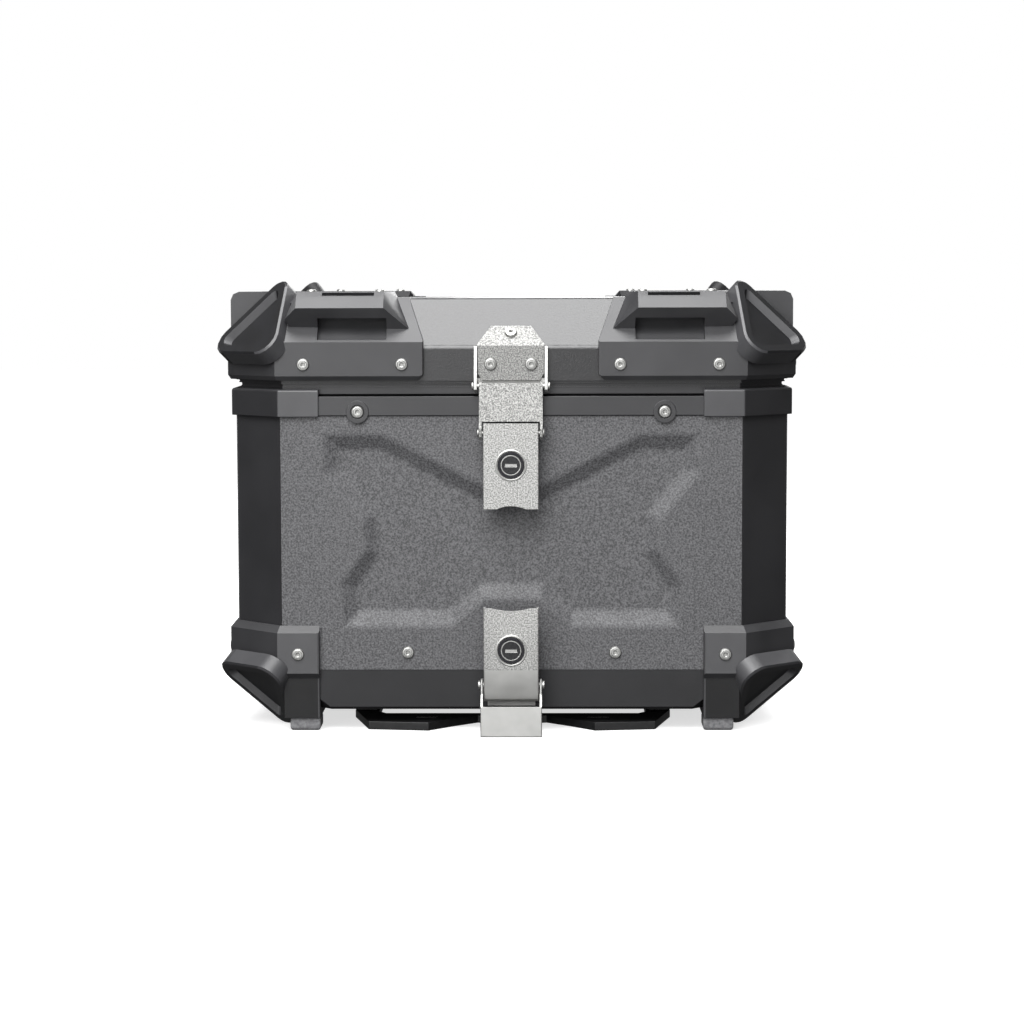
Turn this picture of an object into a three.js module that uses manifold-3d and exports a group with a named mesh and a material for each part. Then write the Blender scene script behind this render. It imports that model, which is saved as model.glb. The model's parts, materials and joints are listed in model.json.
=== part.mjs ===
// Motorcycle top case: an aluminium-panelled luggage box with moulded corner guards, a rear-hinged lid,
// a draw latch on the lid, and a lower latch whose jaw grips a carrier plate.
// Units are millimetres. X is to the right, -Y is the latch side, Z is up, z = 0 is the plane of the feet.
import * as THREE from "three";
import { ConvexGeometry } from "three/addons/geometries/ConvexGeometry.js";
import { mergeVertices } from "three/addons/utils/BufferGeometryUtils.js";
import Module from "manifold-3d";

const wasm = await Module();
wasm.setup();

// ---------- driving dimensions ----------
const GAP = 0.35; // running gap between touching pieces
const BODY = { x: 199, y: 157.5, reach: 321.5 }; // wall planes, and the |x| + |y| of the corner chamfer
const TRAY = { x: 199.6, y: 158.1, reach: 322.1 };
const RAIL = { x: 200.4, y: 158.9, reach: 323.5 };
const CAP = { x: 202.2, y: 160.7, reach: 326 };
const GUARD = { x: 204.5, y: 163, reach: 330 };
const SHEET = 2; // panel and lid sheet
const PANEL_EDGE = { x: 164, y: 122.5 }; // where the front and side panels end at the corner posts
const TRAY_BOTTOM = 15.4;
const TRAY_FOOT = { x: 171.6, reach: 288 }; // the tray's sides and corners slope in down to this plan
const PANEL_BOTTOM = 43.7;
const RAIL_BOTTOM = 225.9;
const RAIL_TOP = 239.5;
const CAP_TOP = 244.5;
const LID_RIM = { x: 195, y: 153.5, bottom: 240.8 };
const LID_BOTTOM = 250.5;
const LID_FOLD = 274.6; // where the skirt turns into the 45 degree slope
const LID_TOP = 308.9;
const GUARD_TOP = 313.6;
const HINGE = { x: 38, y: 165, z: 245, half: 18, r: 4.5, pin: 2.1 };
const LATCH_HALF = 19.5; // half width of both levers
const LINK_PIVOT = { y: -GUARD.y, z: 246.9 };
const LEVER_PIVOT = { y: -GUARD.y - 6.2, z: 214 };
const UPPER_LOCK = { y: -GUARD.y - 10, z: 191.5 };
const FULCRUM = { y: -GUARD.y - 6, z: 30 };
const JAW_PIVOT = { y: -GUARD.y - 10, z: 35.5 };
const LOWER_LOCK = { y: -GUARD.y - 18, z: 61 };
const LOCK_R = 9.2;
const CAM_R = { upper: 13, lower: 15 };
const RAIL_SCREW = { x: 108.9, z: 228.5 };

// ---------- materials ----------
const finish = (color, roughness, metalness) => new THREE.MeshStandardMaterial({ color, roughness, metalness });
const MATERIALS = {
  powder: finish(0x55565a, 0.6, 0.3), // textured powder coat on aluminium sheet
  plastic: finish(0x1d1e20, 0.55, 0), // black glass-filled nylon
  guard: finish(0x2b2c2f, 0.5, 0),
  steel: finish(0xc4c6c8, 0.4, 0.9), // blasted stainless steel
  zinc: finish(0x9a9da0, 0.35, 0.9),
  rubber: finish(0x141415, 0.9, 0),
  plate: finish(0x101112, 0.5, 0.2),
};

// ---------- solid helpers ----------
function solid(geometry) {
  const bare = geometry.index ? geometry.toNonIndexed() : geometry.clone();
  bare.deleteAttribute("normal");
  bare.deleteAttribute("uv");
  const merged = mergeVertices(bare, 1e-4);
  return new wasm.Manifold(
    new wasm.Mesh({
      numProp: 3,
      vertProperties: new Float32Array(merged.attributes.position.array),
      triVerts: new Uint32Array(merged.index.array),
    }),
  );
}

function geometryOf(made) {
  const { vertProperties, triVerts } = made.getMesh();
  const geometry = new THREE.BufferGeometry();
  geometry.setAttribute("position", new THREE.BufferAttribute(vertProperties, 3));
  geometry.setIndex(new THREE.BufferAttribute(triVerts, 1));
  return geometry;
}

const join = (first, ...rest) => rest.reduce((sum, next) => sum.add(next), first);
const cut = (first, ...rest) => rest.reduce((left, next) => left.subtract(next), first);

function extrusion(points, depth, matrix) {
  const shape = new THREE.Shape(points.map(([a, b]) => new THREE.Vector2(a, b)));
  const geometry = new THREE.ExtrudeGeometry(shape, { depth, bevelEnabled: false, steps: 1 });
  return solid(geometry.applyMatrix4(matrix));
}

// A prism whose outline is drawn in the plane across an axis: (x, y) for Z, (x, z) for Y and (y, z) for X.
const prismZ = (points, z0, z1) =>
  extrusion(points, z1 - z0, new THREE.Matrix4().makeTranslation(0, 0, z0));
const prismY = (points, y0, y1) =>
  extrusion(points, y1 - y0, new THREE.Matrix4().set(1, 0, 0, 0, 0, 0, -1, y1, 0, 1, 0, 0, 0, 0, 0, 1));
const prismX = (points, x0, x1) =>
  extrusion(points, x1 - x0, new THREE.Matrix4().set(0, 0, 1, x0, 1, 0, 0, 0, 0, 1, 0, 0, 0, 0, 0, 1));

function box(x0, x1, y0, y1, z0, z1) {
  const geometry = new THREE.BoxGeometry(x1 - x0, y1 - y0, z1 - z0);
  return solid(geometry.translate((x0 + x1) / 2, (y0 + y1) / 2, (z0 + z1) / 2));
}

// A round bar along "x" or "y", from one place to the other on that axis; across is its other two coordinates.
function rod(axis, radius, from, to, across, sides = 24) {
  const geometry = new THREE.CylinderGeometry(radius, radius, to - from, sides);
  const middle = (from + to) / 2;
  if (axis === "x") return solid(geometry.rotateZ(Math.PI / 2).translate(middle, across[0], across[1]));
  return solid(geometry.translate(across[0], middle, across[1]));
}

const hull = (points) => solid(new ConvexGeometry(points.map((p) => new THREE.Vector3(...p))));

// The plan of the case: a rectangle whose four corners are cut at 45 degrees.
function octagon({ x, y, reach }) {
  const corner = [
    [x, reach - x],
    [reach - y, y],
  ];
  return [
    ...corner,
    ...corner.map(([a, b]) => [-a, b]).reverse(),
    ...corner.map(([a, b]) => [-a, -b]),
    ...corner.map(([a, b]) => [a, -b]).reverse(),
  ];
}

const inset = ({ x, y, reach }, by) => ({ x: x - by, y: y - by, reach: reach - by * Math.SQRT2 });
const stack = (layers) => hull(layers.flatMap(([plan, z]) => octagon(plan).map(([x, y]) => [x, y, z])));
const slab = (plan, z0, z1) => prismZ(octagon(plan), z0, z1);
const ring = (outer, inner, z0, z1) => slab(outer, z0, z1).subtract(slab(inner, z0 - 1, z1 + 1));

function arc(cx, cy, radius, from, to, steps) {
  return Array.from({ length: steps + 1 }, (_, i) => {
    const angle = ((from + ((to - from) * i) / steps) * Math.PI) / 180;
    return [cx + radius * Math.cos(angle), cy + radius * Math.sin(angle)];
  });
}

// ---------- scene graph ----------
const topCase = new THREE.Group();

function add(name, made, material, scale = [1, 1, 1]) {
  const geometry = geometryOf(made);
  geometry.computeVertexNormals();
  const mesh = new THREE.Mesh(geometry, MATERIALS[material]);
  mesh.name = name;
  mesh.scale.set(...scale);
  topCase.add(mesh);
}

// Corner pieces are modelled in the quadrant x > 0, y > 0 and mirrored into place.
const CORNERS = {
  front_left: [-1, -1, 1],
  front_right: [1, -1, 1],
  rear_left: [-1, 1, 1],
  rear_right: [1, 1, 1],
};
const addCorners = (name, made, material) => {
  for (const [corner, scale] of Object.entries(CORNERS)) add(name + "_" + corner, made, material, scale);
};
const SIDES = { left: [-1, 1, 1], right: [1, 1, 1] };
const addSides = (name, made, material) => {
  for (const [side, scale] of Object.entries(SIDES)) add(name + "_" + side, made, material, scale);
};

// ---------- box: tray, panels, corner posts and rim ----------
// The tray's plan at a height below the panels, grown outwards square to its sloping sides and corners.
function trayPlan(z, grow) {
  const rise = PANEL_BOTTOM - TRAY_BOTTOM - 2;
  const part = (z - TRAY_BOTTOM - 2) / rise;
  const sideSlope = (TRAY.x - TRAY_FOOT.x) / rise;
  const cornerSlope = (TRAY.reach - TRAY_FOOT.reach) / rise;
  return {
    x: TRAY_FOOT.x + (TRAY.x - TRAY_FOOT.x) * part + grow * Math.hypot(1, sideSlope),
    y: TRAY.y + grow,
    reach: TRAY_FOOT.reach + (TRAY.reach - TRAY_FOOT.reach) * part + grow * Math.sqrt(2 + cornerSlope ** 2),
  };
}

// The tray's outer form, grown outwards. Below the panels its sides and corners slope in.
function trayForm(grow, top) {
  const walls = inset(TRAY, -grow);
  const foot = trayPlan(TRAY_BOTTOM + 2, grow);
  return stack([
    [inset(foot, 2), TRAY_BOTTOM - grow],
    [foot, TRAY_BOTTOM + 2],
    [walls, PANEL_BOTTOM],
    [walls, top],
  ]);
}

function baseTray() {
  const wall = 3.2;
  const flangeTop = 66;
  const floorTop = TRAY_BOTTOM + 3;
  const mouth = trayPlan(PANEL_BOTTOM, -wall);
  const hollow = stack([
    [trayPlan(floorTop, -wall), floorTop],
    [mouth, PANEL_BOTTOM],
    [mouth, PANEL_BOTTOM + 5],
  ]);
  const flange = inset(BODY, SHEET + GAP);
  const upstand = ring(flange, inset(flange, 2.5), PANEL_BOTTOM - 2.5, flangeTop);
  const spans = join(
    box(-148, 148, -200, 200, PANEL_BOTTOM - 5, flangeTop + 1),
    box(-250, 250, -106, 106, PANEL_BOTTOM - 5, flangeTop + 1),
  );
  return trayForm(0, PANEL_BOTTOM + 0.05).subtract(hollow).add(upstand.intersect(spans));
}

// The recess pressed into a panel, right half from the top V round to the bottom: its edge at the panel's face,
// and the edge of its sunken floor.
const EMBOSS = {
  depth: 5,
  face: [
    [0, 168],
    [22, 179],
    [91, 214],
    [135.5, 214],
    [136, 185],
    [108, 150.5],
    [106, 130],
    [124, 106],
    [121.5, 73],
    [42, 73],
    [19.5, 93],
  ],
  floor: [
    [0, 153],
    [21, 164.5],
    [92.5, 201.5],
    [123, 201.5],
    [123, 187.5],
    [96, 155.5],
    [94, 127.5],
    [111.3, 102],
    [109.2, 86.3],
    [44, 86.3],
    [22, 105.5],
  ],
};

function embossLoft(widthScale) {
  const whole = (half) => [
    ...half.map(([x, z]) => [x * widthScale, z]),
    ...half
      .slice(1)
      .map(([x, z]) => [-x * widthScale, z])
      .reverse(),
  ];
  const face = whole(EMBOSS.face);
  const floor = whole(EMBOSS.floor);
  const shape = new THREE.Shape(face.map(([x, z]) => new THREE.Vector2(x, z)));
  const depth = EMBOSS.depth + 1;
  const geometry = new THREE.ExtrudeGeometry(shape, { depth, bevelEnabled: false, steps: 1 });
  const position = geometry.attributes.position;
  for (let i = 0; i < position.count; i += 1) {
    const x = position.getX(i);
    const z = position.getY(i);
    const at = face.findIndex(([a, b]) => Math.hypot(a - x, b - z) < 1e-3);
    if (position.getZ(i) > depth / 2) position.setXY(i, floor[at][0], floor[at][1]);
  }
  // The outline is drawn in (x, z); the loft runs inwards, towards -y of a wall that faces +y.
  return geometry.applyMatrix4(new THREE.Matrix4().set(1, 0, 0, 0, 0, 0, -1, 1, 0, 1, 0, 0, 0, 0, 0, 1));
}

// A panel that faces +y, with its outer face on y = 0.
function wallPanel(halfWidth, widthScale) {
  const z0 = PANEL_BOTTOM + GAP;
  const z1 = RAIL_BOTTOM - GAP;
  const recess = solid(embossLoft(widthScale));
  const backing = solid(embossLoft(widthScale).translate(0, -SHEET * 0.9, 0)).subtract(
    box(-halfWidth, halfWidth, -SHEET / 2, SHEET, 0, 300),
  );
  return box(-halfWidth, halfWidth, -SHEET, 0, z0, z1).add(backing).subtract(recess);
}

// A piece turned about the vertical and then moved.
const turned = (made, angle, x, y) => solid(geometryOf(made).rotateZ(angle).translate(x, y, 0));

function cornerPost() {
  const leg = 12.5;
  const inner = { x: BODY.x - SHEET - GAP, y: BODY.y - SHEET - GAP };
  const wall = 3;
  const back = inset(BODY, SHEET + wall);
  return prismZ(
    [
      [PANEL_EDGE.x + GAP, BODY.y - GAP],
      [PANEL_EDGE.x + GAP, inner.y],
      [PANEL_EDGE.x - leg, inner.y],
      [PANEL_EDGE.x - leg, inner.y - wall],
      [back.reach - inner.y + wall, inner.y - wall],
      [inner.x - wall, back.reach - inner.x + wall],
      [inner.x - wall, PANEL_EDGE.y - leg],
      [inner.x, PANEL_EDGE.y - leg],
      [inner.x, PANEL_EDGE.y + GAP],
      [BODY.x - GAP, PANEL_EDGE.y + GAP],
    ],
    PANEL_BOTTOM + GAP,
    RAIL_BOTTOM - GAP,
  );
}

function topRail() {
  const wallPlan = inset(RAIL, 5);
  const lip = { x: 185.5, y: 144, reach: inset(BODY, 13.5).reach };
  const body = join(ring(RAIL, wallPlan, RAIL_BOTTOM, RAIL_TOP), ring(RAIL, lip, RAIL_TOP - 3.2, RAIL_TOP));
  const boss = { radius: 8, wellRadius: 5, wellDepth: 1.2, back: BODY.y + GAP, face: BODY.y + GAP + 2.1 };
  const alongY = (radius, from, to, sx, sy) =>
    rod("y", radius, Math.min(sy * from, sy * to), Math.max(sy * from, sy * to), [sx * RAIL_SCREW.x, RAIL_SCREW.z]);
  const bosses = [-1, 1].flatMap((sx) =>
    [-1, 1].map((sy) => [
      alongY(boss.radius, boss.back, boss.face, sx, sy),
      alongY(boss.wellRadius, boss.face - boss.wellDepth, boss.face + 1, sx, sy),
    ]),
  );
  return bosses.reduce((made, [pad, well]) => made.add(pad).subtract(well), body);
}

function rimCap() {
  const inner = { x: RAIL.x + GAP, y: RAIL.y + GAP, reach: RAIL.reach + GAP * 1.5 };
  const shelf = { x: LID_RIM.x + 1, y: LID_RIM.y + 1, reach: 314.5 + 1.5 };
  const bevelled = stack([
    [CAP, 225],
    [CAP, CAP_TOP - 1.2],
    [inset(CAP, 1.2), CAP_TOP],
  ]);
  const shell = cut(bevelled, slab(inner, 200, RAIL_TOP + GAP), slab(shelf, 200, 300));
  return shell.intersect(join(box(136.5, 300, 80, 300, 200, 300), box(150, 300, 97, 300, 200, 300)));
}

// ---------- lid ----------
function lidForm(grow, bottom) {
  const skirt = inset(BODY, -grow);
  const fold = LID_FOLD + grow * Math.tan(Math.PI / 8);
  const top = LID_TOP + grow;
  return stack([
    [skirt, bottom],
    [skirt, fold],
    [inset(skirt, top - fold), top],
  ]);
}

const lidSkin = () => lidForm(0, LID_BOTTOM).subtract(lidForm(-SHEET, LID_BOTTOM - 1));

const LID_RIM_PLAN = { x: LID_RIM.x, y: LID_RIM.y, reach: inset(BODY, 4).reach };

function lidRim() {
  const inner = inset(LID_RIM_PLAN, 9);
  const tongue = inset(BODY, SHEET + GAP);
  const band = ring(LID_RIM_PLAN, inner, LID_RIM.bottom, LID_BOTTOM - GAP);
  const upright = ring(tongue, inset(tongue, 3), LID_BOTTOM - 2, 258);
  const shelf = ring(tongue, inner, LID_BOTTOM - 2, LID_BOTTOM - GAP);
  const groove = ring(inset(LID_RIM_PLAN, 2.9), inset(LID_RIM_PLAN, 7.6), LID_RIM.bottom - 1, 244.4);
  return join(band, upright, shelf).subtract(groove);
}

const lidSeal = () => ring(inset(LID_RIM_PLAN, 3.3), inset(LID_RIM_PLAN, 7.2), RAIL_TOP + GAP, 244);

// ---------- corner guards ----------
// u and v are the distances inwards from the guards' side and front planes.
const cornerPoint = (u, v, z) => [GUARD.x - u, GUARD.y - v, z];

// The triangular horn on a guard's corner. Its face passes through two points level with each other, near the
// side and front planes, and a third one height above them; a negative height turns the horn upside down.
function horn(level, height, size) {
  const side = new THREE.Vector3(...cornerPoint(-17.5, 33.5, level));
  const fore = new THREE.Vector3(...cornerPoint(38.5, -18.5, level));
  const peak = new THREE.Vector3(...cornerPoint(45, 41.5, level + height));
  const [left, right] = height > 0 ? [side, fore] : [fore, side];
  const along = right.clone().sub(left).normalize();
  const out = new THREE.Vector3().crossVectors(along, peak.clone().sub(left)).normalize();
  const rise = new THREE.Vector3().crossVectors(out, along);
  const flat = (point) => [point.clone().sub(left).dot(along), point.clone().sub(left).dot(rise)];
  const triangle = [left, right, peak].map(flat);
  const rounded = (by, radii) => roundedOutline(insetOutline(triangle, by), radii);
  const place = (depth) =>
    new THREE.Matrix4().makeBasis(along, rise, out).setPosition(left.clone().addScaledVector(out, -depth));
  const body = extrusion(rounded(0, [13, 13, 8]), size.thick - 1.2, place(size.thick));
  const crown = taperedPrism(rounded(0, [13, 13, 8]), rounded(1.4, [12, 12, 7]), 1.2, place(1.2));
  const neck = extrusion(rounded(7, [8, 8, 4]), 14, place(size.thick + 13));
  const recess = taperedPrism(rounded(9, [5, 5, 3]), rounded(6, [7, 7, 4]), size.sink + 1, place(size.sink));
  return join(body, crown, neck).subtract(recess);
}

// A convex outline, drawn anticlockwise, with each side moved in by a distance.
function insetOutline(points, by) {
  const sides = points.map(([x, y], i) => {
    const [nextX, nextY] = points[(i + 1) % points.length];
    const length = Math.hypot(nextX - x, nextY - y);
    const normal = [-(nextY - y) / length, (nextX - x) / length];
    return { normal, offset: normal[0] * x + normal[1] * y + by };
  });
  return sides.map((side, i) => {
    const before = sides[(i + sides.length - 1) % sides.length];
    const cross = before.normal[0] * side.normal[1] - before.normal[1] * side.normal[0];
    return [
      (before.offset * side.normal[1] - side.offset * before.normal[1]) / cross,
      (before.normal[0] * side.offset - side.normal[0] * before.offset) / cross,
    ];
  });
}

// Replaces each corner of a triangle with an arc.
function roundedOutline(points, radii, steps = 5) {
  return points.flatMap((point, i) => {
    const corner = new THREE.Vector2(...point);
    const before = new THREE.Vector2(...points[(i + points.length - 1) % points.length]).sub(corner).normalize();
    const after = new THREE.Vector2(...points[(i + 1) % points.length]).sub(corner).normalize();
    const halfAngle = Math.acos(before.dot(after)) / 2;
    const centre = before
      .clone()
      .add(after)
      .normalize()
      .multiplyScalar(radii[i] / Math.sin(halfAngle))
      .add(corner);
    const reach = radii[i] / Math.tan(halfAngle);
    const first = corner.clone().addScaledVector(before, reach).sub(centre);
    const last = corner.clone().addScaledVector(after, reach).sub(centre);
    const start = Math.atan2(first.y, first.x);
    let sweep = Math.atan2(last.y, last.x) - start;
    if (sweep < 0) sweep += Math.PI * 2;
    return Array.from({ length: steps + 1 }, (_, k) => {
      const angle = start + (sweep * k) / steps;
      return [centre.x + radii[i] * Math.cos(angle), centre.y + radii[i] * Math.sin(angle)];
    });
  });
}

// A prism whose far outline has the same number of points as its near one but another size.
function taperedPrism(near, far, depth, matrix) {
  const shape = new THREE.Shape(near.map(([a, b]) => new THREE.Vector2(a, b)));
  const geometry = new THREE.ExtrudeGeometry(shape, { depth, bevelEnabled: false, steps: 1 });
  const position = geometry.attributes.position;
  for (let i = 0; i < position.count; i += 1) {
    const at = near.findIndex(([a, b]) => Math.hypot(a - position.getX(i), b - position.getY(i)) < 1e-3);
    if (position.getZ(i) > depth / 2) position.setXY(i, far[at][0], far[at][1]);
  }
  return solid(geometry.applyMatrix4(matrix));
}

function upperGuard() {
  const slopeStart = 278;
  const slopeEnd = LID_TOP + 0.5;
  const cover = stack([
    [inset(GUARD, 2), 251],
    [GUARD, 254],
    [GUARD, slopeStart],
    [inset(GUARD, slopeEnd - slopeStart), slopeEnd],
  ]);
  const wingEnd = { front: 62, side: 38, lean: 0.375 };
  const wing = (end, far) => [
    [end + 5, 250],
    [end, 255],
    [end, slopeStart + 1],
    [end + wingEnd.lean * (slopeEnd - slopeStart), slopeEnd + 1],
    [far, slopeEnd + 1],
    [far, 250],
  ];
  const wings = join(prismY(wing(wingEnd.front, 230), 118, 200), prismX(wing(wingEnd.side, 200), 156, 230));
  // The grab bar in front of the lid's slope, with its pointed ends.
  const section = [
    [0.5, 302],
    [7, 308.6],
    [14, GUARD_TOP],
    [52, GUARD_TOP],
    [52, 300],
    [15, 282.5],
  ];
  const across = (x) => section.map(([v, z]) => [x, GUARD.y - v, z]);
  const barEnds = [
    [71, GUARD.y - 9.8, 285.9],
    [78, GUARD.y - 26, 302],
    [81, GUARD.y - 33, 309],
    [84.6, GUARD.y - 36, GUARD_TOP - 0.4],
    [84.6, GUARD.y - 52, GUARD_TOP],
    [160.5, GUARD.y - 7, 293.8],
  ];
  const bar = hull([...across(90), ...across(152), ...barEnds]);
  const pocket = prismX(
    [
      [-8, 279.6],
      [9.4, 279.6],
      ...arc(1.8, 297.2, 17.5, -45, 0, 6),
      [19.3, 309],
      [15.5, 309],
      [9.5, 303],
      [5.7, 294.8],
      [-8, 294.8],
    ].map(([v, z]) => [GUARD.y - v, z]),
    88,
    137,
  );
  const slot = prismX(
    [
      [8.2, 312.5],
      [11.6, 308.4],
      [14.6, 310.6],
      [11.4, 315],
    ].map(([v, z]) => [GUARD.y - v, z]),
    97,
    134,
  );
  // The bolster over the side slope.
  const bolster = hull(
    [38, 113].flatMap((y) =>
      [
        [1, 286],
        [3, 284],
        [1, 307.6],
        [2.8, 311.8],
        [7, GUARD_TOP],
        [52, GUARD_TOP],
        [52, 300],
        [15, 282],
      ].map(([u, z]) => [GUARD.x - u, y, z]),
    ),
  );
  const corner = hull(
    [
      [20, 52, GUARD_TOP - 8],
      [52, 20, GUARD_TOP - 8],
      [52, 52, GUARD_TOP],
      [40, 56, GUARD_TOP],
      [56, 40, GUARD_TOP],
      [44, 44, 290],
      [20, 52, 290],
      [52, 20, 290],
    ].map((p) => cornerPoint(...p)),
  );
  const whole = join(cover.intersect(wings), bar, bolster, corner, horn(270.4, 59, { thick: 13, sink: 5 }));
  return cut(whole, pocket, slot, lidForm(GAP, LID_BOTTOM - 20));
}

function lowerGuard() {
  const leg = inset(GUARD, 3);
  const face = join(
    stack([
      [leg, 9.5],
      [leg, 40],
    ]),
    stack([
      [leg, 38],
      [GUARD, 42],
      [GUARD, 71],
      [inset(GUARD, 4.2), 76],
    ]),
  );
  const wing = (end, far) => [
    [end, 0],
    [far, 0],
    [far, 80],
    ...arc(end + 10, 66, 10, 90, 180, 5),
  ];
  const wings = join(prismY(wing(137, 230), 95, 200), prismX(wing(95, 200), 137, 230));
  // The wrap is cleared away in front of the floor of the horn's recess.
  const hornFace = (s) => 57 - (55 / 67) * (s - 16);
  const clearance = hull(
    [-120, 120].flatMap((w) =>
      [
        [10, -40],
        [10, hornFace(10)],
        [100, hornFace(100)],
        [100, -40],
      ].map(([s, z]) => cornerPoint((s + w) / 2, (s - w) / 2, z)),
    ),
  ).intersect(box(162.5, 260, 121, 260, -40, 60));
  const underSide = box(162.5, 260, 60, 121, -40, 38);
  const wrap = face.intersect(wings).subtract(clearance).subtract(underSide);
  const whole = join(wrap, horn(47.3, -55, { thick: 13, sink: 4.5 }));
  const belowFeet = box(100, 260, 60, 260, -40, 0.5);
  return cut(whole, trayForm(GAP, 90), belowFeet);
}

const foot = () =>
  hull(
    [
      [0, 1.5],
      [1.5, 0],
      [7.5, 0],
      [9.15, 0],
    ].flatMap(([z, by]) =>
      [137 + by, 158.7 - by].flatMap((x) => [GUARD.y - 28 + by, GUARD.y - 5 - by].map((y) => [x, y, z])),
    ),
  );

// ---------- hinges ----------
// The knuckles of one leaf: the base leaf has the two outer ones and the lid leaf has the middle one.
function knuckles(spans) {
  return spans.map(([from, to]) => rod("x", HINGE.r, HINGE.x + from, HINGE.x + to, [HINGE.y, HINGE.z]));
}

function hingeBase() {
  const plateIn = RAIL.y + GAP;
  const plate = box(HINGE.x - HINGE.half, HINGE.x + HINGE.half, plateIn, plateIn + 2, 196, HINGE.z - 2);
  const strut = (from, to) =>
    prismX(
      [
        [plateIn, HINGE.z - 6],
        [HINGE.y + 1, HINGE.z - 4.2],
        [HINGE.y - 3, HINGE.z],
        [plateIn, HINGE.z - 2],
      ],
      HINGE.x + from,
      HINGE.x + to,
    );
  const outer = [
    [-HINGE.half, -7],
    [7, HINGE.half],
  ];
  const made = join(plate, ...knuckles(outer), ...outer.map(([from, to]) => strut(from, to)));
  const swing = box(HINGE.x - 7, HINGE.x + 7, plateIn + 0.01, 200, HINGE.z - 5.5, 300);
  return cut(made, rod("x", HINGE.pin + 0.3, 0, 80, [HINGE.y, HINGE.z]), swing);
}

function hingeLeaf() {
  const face = BODY.y + GAP;
  const plate = box(HINGE.x - HINGE.half, HINGE.x + HINGE.half, face, face + 2, LID_BOTTOM + 0.5, 273);
  const strut = prismX(
    [
      [face, LID_BOTTOM + 0.5],
      [HINGE.y - 3.4, HINGE.z + 1],
      [HINGE.y + 1, HINGE.z + 4.2],
      [face + 2, LID_BOTTOM + 5],
      [face, LID_BOTTOM + 5],
    ],
    HINGE.x - 6.6,
    HINGE.x + 6.6,
  );
  const made = join(plate, strut, ...knuckles([[-6.6, 6.6]]));
  return cut(made, rod("x", HINGE.pin + 0.3, 0, 80, [HINGE.y, HINGE.z]));
}

const hingePin = () => {
  const reach = HINGE.half + 1.2;
  return rod("x", HINGE.pin, HINGE.x - reach, HINGE.x + reach, [HINGE.y, HINGE.z]);
};

// ---------- upper latch ----------
const front = (v) => -GUARD.y + v; // v is the distance inwards from the guards' front plane
const sideView = (points) => points.map(([v, z]) => [front(v), z]);
const mirrorX = (points) => [...points, ...points.map(([x, z]) => [-x, z]).reverse()];

function latchHood() {
  const bent = prismX(
    sideView([
      [1, 250.6],
      [1, 275.4],
      [14.8, 289.2],
      [16.8, 287.2],
      [4.4, 274.6],
      [3, 272],
      [3, 250.6],
    ]),
    -23.6,
    23.6,
  );
  const flanges = [-1, 1].map((s) =>
    prismX(
      sideView([
        [1.2, 254],
        [1.2, 275.4],
        [5.1, 275.2],
        [5.1, 251],
        [3, 250.6],
      ]),
      Math.min(s * 21.6, s * 23.6),
      Math.max(s * 21.6, s * 23.6),
    ),
  );
  const outline = prismY(
    mirrorX([
      [20.2, 240],
      [20.2, 251],
      [23.6, 256],
      [23.6, 276.8],
      [13.6, 290],
      [0, 290],
    ]),
    front(-5),
    front(30),
  );
  return join(bent, ...flanges).intersect(outline).subtract(lidForm(GAP, LID_BOTTOM));
}

function latchBracket() {
  const back = box(-21.2, 21.2, front(3.35), front(5.1), 252, 272);
  const bridge = box(-26, 26, front(3.7), front(5.1), 240.9, 251.2).add(
    box(-26, 26, front(3.7), front(5.1), 250, 252.5),
  );
  const ears = [-1, 1].map((s) =>
    prismX(
      sideView([
        [5.1, 275],
        [2, 275],
        [-1, 262],
        [-3.4, 250],
        [-3.4, 244.5],
        [-1, 242.6],
        [2, 242.6],
        [5.1, 246],
      ]),
      Math.min(s * 24, s * 26),
      Math.max(s * 24, s * 26),
    ),
  );
  const bore = rod("x", 2.1, -30, 30, [LINK_PIVOT.y, LINK_PIVOT.z], 20);
  return join(back, bridge.subtract(box(-30, 30, front(3), front(6), 240, 246)), ...ears).subtract(bore);
}

function linkPin() {
  const shank = rod("x", 1.8, 20.4, 27.4, [LINK_PIVOT.y, LINK_PIVOT.z], 20);
  return shank.add(rod("x", 2.8, 26.4, 27.6, [LINK_PIVOT.y, LINK_PIVOT.z], 20));
}

function latchLink() {
  const plate = prismX(
    sideView([
      [-2.5, 249],
      [-8.4, 222],
      [-6.9, 222],
      [-1, 249],
    ]),
    -22.4,
    22.4,
  );
  const cheeks = [-1, 1].map((s) =>
    prismX(
      sideView([
        [-2.5, 249],
        [-8.4, 222],
        [-11.2, 217],
        [-11.2, 211.5],
        [-9.4, 209.6],
        [-5, 209.6],
        [-2.9, 212],
        [-2.9, 226],
        [1.8, 244.5],
        [1.8, 249],
      ]),
      Math.min(s * 20.6, s * 22.4),
      Math.max(s * 20.6, s * 22.4),
    ),
  );
  const eyes = [-1, 1].map((s) =>
    rod("x", 3.3, Math.min(s * 20.6, s * 22.4), Math.max(s * 20.6, s * 22.4), [LINK_PIVOT.y, LINK_PIVOT.z], 20),
  );
  return cut(
    join(plate, ...cheeks, ...eyes),
    rod("x", 2.1, -30, 30, [LINK_PIVOT.y, LINK_PIVOT.z], 20),
    rod("x", 2.1, -30, 30, [LEVER_PIVOT.y, LEVER_PIVOT.z], 20),
  );
}

// A pin through a lever's two cheeks, with a riveted head at each end.
function crossPin(pivot, half) {
  const heads = [-1, 1].map((s) =>
    rod("x", 2.8, Math.min(s * (half - 1), s * half), Math.max(s * (half - 1), s * half), [pivot.y, pivot.z], 20),
  );
  return join(rod("x", 1.8, -half, half, [pivot.y, pivot.z], 20), ...heads);
}

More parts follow.
